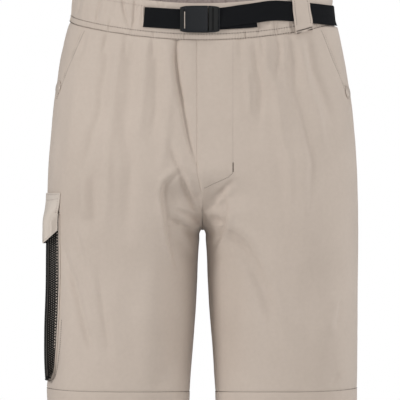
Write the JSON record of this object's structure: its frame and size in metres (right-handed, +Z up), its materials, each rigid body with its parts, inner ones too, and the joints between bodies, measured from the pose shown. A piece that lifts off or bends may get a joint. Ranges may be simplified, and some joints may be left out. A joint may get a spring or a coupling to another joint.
{
  "type": "elasticated hiking shorts with a webbing belt and a mesh cargo pocket, worn form",
  "caption": "Hollow worn-form hiking shorts: gathered waistband, webbing belt with plastic buckle, slant hand pockets and a bellows cargo pocket of mesh under a flap.",
  "frame": {"origin": "middle of the waist, level with the middle of the waistband at the centre front", "axes": "+Z up, the front looks along -Y, and the wearer's right leg is at -X"},
  "size_m": [0.4105, 0.2366, 0.5611],
  "materials": {
    "shell_fabric": "light plain-woven nylon in taupe, matt with a slight sheen",
    "pocket_mesh": "black sports mesh over a plain black backing, matt",
    "webbing": "black woven webbing, matt",
    "buckle_plastic": "black moulded plastic, satin",
    "snap_cap": "taupe lacquer, satin"
  },
  "bodies": {
    "root": {"front_left": "shell_fabric", "front_right": "shell_fabric", "back_left": "shell_fabric", "back_right": "shell_fabric", "hip_left": "shell_fabric", "hip_right": "shell_fabric", "waistband": "shell_fabric", "belt_loop": "shell_fabric", "cargo_flap": "shell_fabric", "cargo_face": "pocket_mesh", "cargo_gusset": "pocket_mesh", "belt_short": "webbing", "belt_long": "webbing", "belt_tail": "webbing", "buckle_body": "buckle_plastic", "buckle_frame": "buckle_plastic", "snap_left": "snap_cap", "snap_right": "snap_cap"}
  },
  "joints": []
}
